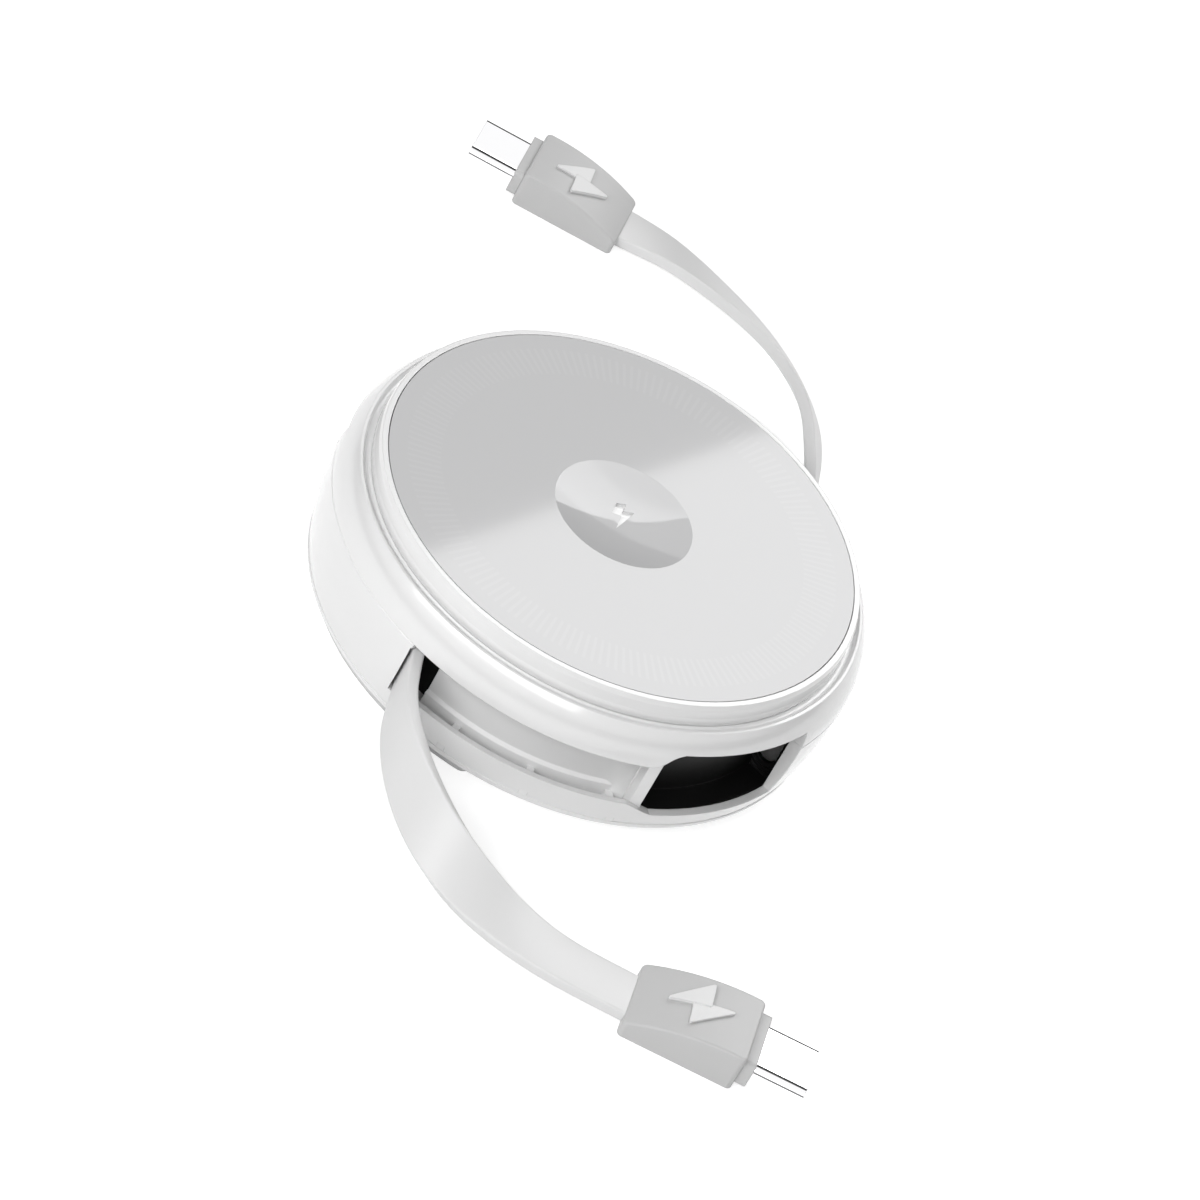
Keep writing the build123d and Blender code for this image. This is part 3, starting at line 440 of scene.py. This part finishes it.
def turned_ring(name, outline, material):
    """A closed outline of (r, z) points in millimetres, turned round the reel's axis."""
    steps = RING_STEPS
    points = [(r * MM * cos(i * tau / steps), r * MM * sin(i * tau / steps), z * MM)
              for i in range(steps) for r, z in outline]
    n = len(outline)
    faces = [(i * n + k, (i + 1) % steps * n + k, (i + 1) % steps * n + (k + 1) % n, i * n + (k + 1) % n)
             for i in range(steps) for k in range(n)]
    ring = add_mesh(name, points, faces, material)
    ring.modifiers.new("edges", "EDGE_SPLIT").split_angle = radians(RING_SPLIT)
    return ring


def neck_fillet(material):
    """The soft hollow between the pad's bezel and the shoulder."""
    half = (NECK_OUT - NECK_IN) / 2
    middle = (NECK_OUT + NECK_IN) / 2
    curve = [(middle - half * cos(i * pi / NECK_STEPS), NECK_TOP - NECK_DEPTH * sin(i * pi / NECK_STEPS))
             for i in range(NECK_STEPS + 1)]
    ring = turned_ring("neck_fillet", curve + [(NECK_OUT - 0.4, NECK_LOW), (NECK_IN, NECK_LOW)], material)
    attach(ring, "case")


def wall_radius(z):
    """Radius of the lower shell's bowed wall at a height, in millimetres, on the model's arc."""
    (x0, z0), (x1, z1), (x2, z2) = WALL_ARC
    d = 2 * (x0 * (z1 - z2) + x1 * (z2 - z0) + x2 * (z0 - z1))
    s0, s1, s2 = x0 * x0 + z0 * z0, x1 * x1 + z1 * z1, x2 * x2 + z2 * z2
    cx = (s0 * (z1 - z2) + s1 * (z2 - z0) + s2 * (z0 - z1)) / d
    cz = (s0 * (x2 - x1) + s1 * (x0 - x2) + s2 * (x1 - x0)) / d
    return cx + ((x0 - cx) ** 2 + (z0 - cz) ** 2 - (z - cz) ** 2) ** 0.5


def base_lip(material):
    """The low lip round the bottom edge of the case, a hair proud of the wall."""
    top = LIP_HEIGHTS[-1]
    outer = [(wall_radius(z) + LIP_PROUD, z) for z in LIP_HEIGHTS]
    low_r, low_z = WALL_ARC[0]
    outline = [(low_r - 0.5, low_z - 0.42), (low_r - 0.3, low_z - 0.42), (low_r - 0.02, low_z - 0.2)] + outer
    outline += [(wall_radius(top) + LIP_PROUD * 0.6, top + LIP_TOP), (wall_radius(top) - 0.3, top + LIP_TOP)]
    ring = turned_ring("base_lip", outline, material)
    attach(ring, "case")


# Stage and lights

def backdrop_material():
    """Pale floor: for the camera and in reflections it glows almost white, and keeps a soft shadow."""
    paint = Paint("backdrop", FLOOR_COLOR, 0.9)
    rays = paint.node("LightPath")
    seen = paint.math("MAXIMUM", rays.outputs["Is Camera Ray"], paint.mirrored(rays))
    pale = paint.node("BsdfDiffuse", Color=(FLOOR_SHADE, FLOOR_SHADE, FLOOR_SHADE, 1))
    glow = paint.node("Emission", Strength=FLOOR_GLOW)
    lit = paint.node("AddShader")
    paint.link(pale, "BSDF", lit, 0)
    paint.link(glow, "Emission", lit, 1)
    mix = paint.node("MixShader")
    paint.tree.links.new(seen, mix.inputs["Fac"])
    paint.link(paint.shader, "BSDF", mix, 1)
    paint.link(lit, "Shader", mix, 2)
    paint.link(mix, "Shader", paint.tree.nodes["Material Output"], "Surface")
    return paint.material


def make_floor():
    """The surface that the object lies on."""
    corners = [(x * FLOOR_REACH, y * FLOOR_REACH, 0) for x, y in ((-1, -1), (1, -1), (1, 1), (-1, 1))]
    floor = add_mesh("floor", corners, [(0, 1, 2, 3)], backdrop_material(), smooth=False)


def make_world():
    """Even white light. The camera sees white, and gloss sees white with the dark sides."""
    world = bpy.data.worlds.new("studio")
    world.use_nodes = True
    sky = Nodes(world.node_tree)
    base = sky.tree.nodes["Background"]
    base.inputs["Color"].default_value = (1, 1, 1, 1)
    base.inputs["Strength"].default_value = WORLD_LEVEL
    rays = sky.node("LightPath")
    place = sky.node("TexCoord")
    shade = 1.0
    for axis, low, high, dark in DARK_SIDES:
        along = sky.node("VectorMath", operation="DOT_PRODUCT")
        sky.link(place, "Generated", along, 0)
        along.inputs[1].default_value = axis
        shade = sky.math("MULTIPLY", shade, sky.step(along.outputs["Value"], low, high, dark))
    shine = sky.node("Background", Color=(1, 1, 1, 1))
    sky.tree.links.new(shade, shine.inputs["Strength"])
    gloss_mix = sky.node("MixShader")
    sky.tree.links.new(sky.mirrored(rays), gloss_mix.inputs["Fac"])
    sky.link(base, "Background", gloss_mix, 1)
    sky.link(shine, "Background", gloss_mix, 2)
    white = sky.node("Background", Color=(1, 1, 1, 1))
    mix = sky.node("MixShader")
    sky.link(rays, "Is Camera Ray", mix, "Fac")
    sky.link(gloss_mix, "Shader", mix, 1)
    sky.link(white, "Background", mix, 2)
    sky.link(mix, "Shader", sky.tree.nodes["World Output"], "Surface")
    bpy.context.scene.world = world


def add_lamp(name, place, size, power, axes=None):
    """A soft rectangular lamp that faces the object. Its own axes may be given to set its edges."""
    data = bpy.data.lights.new(name, "AREA")
    data.shape = "RECTANGLE"
    data.size, data.size_y = size
    data.energy = power
    lamp = bpy.data.objects.new(name, data)
    if axes is None:
        turn = (Vector(LAMPS_FACE) - Vector(place)).to_track_quat("-Z", "Y").to_matrix()
    else:
        turn = Matrix(axes).transposed()
    lamp.matrix_world = Matrix.Translation(place) @ turn.to_4x4()
    bpy.context.scene.collection.objects.link(lamp)
    return lamp


def add_panel_lamp():
    """A large lamp behind the object, whose straight edge is mirrored across the panel."""
    rise, lean = radians(EDGE_RISE), radians(EDGE_LEAN)
    away = Vector((0, cos(rise), sin(rise)))
    level, up = Vector((1, 0, 0)), Vector((0, -sin(rise), cos(rise)))
    along = level * cos(lean) - up * sin(lean)
    across = level * sin(lean) + up * cos(lean)
    place = Vector((0, 0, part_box("top_panel")[1][2])) + away * PANEL_LAMP_AT + across * (PANEL_LAMP[1] / 2)
    add_lamp("panel_lamp", place, PANEL_LAMP, PANEL_LAMP_POWER, (along, -across, away))


def make_lights():
    """A wide key, a fill that gloss doesn't mirror, and the panel lamp behind."""
    add_lamp("key", KEY_AT, KEY_SIZE, KEY_POWER)
    add_lamp("fill", FILL_AT, KEY_SIZE, FILL_POWER).visible_glossy = False
    add_panel_lamp()


place_camera()
paints = make_paints()
flat_cable("front", FRONT_ROUTE, paints["cable_grey"])
flat_cable("back", BACK_ROUTE, paints["cable_grey"])
paint_nodes(paints)
neck_fillet(paints["white_shell"])
base_lip(paints["white_shell"])
make_floor()
make_world()
make_lights()
bpy.context.scene.view_settings.view_transform = "Standard"
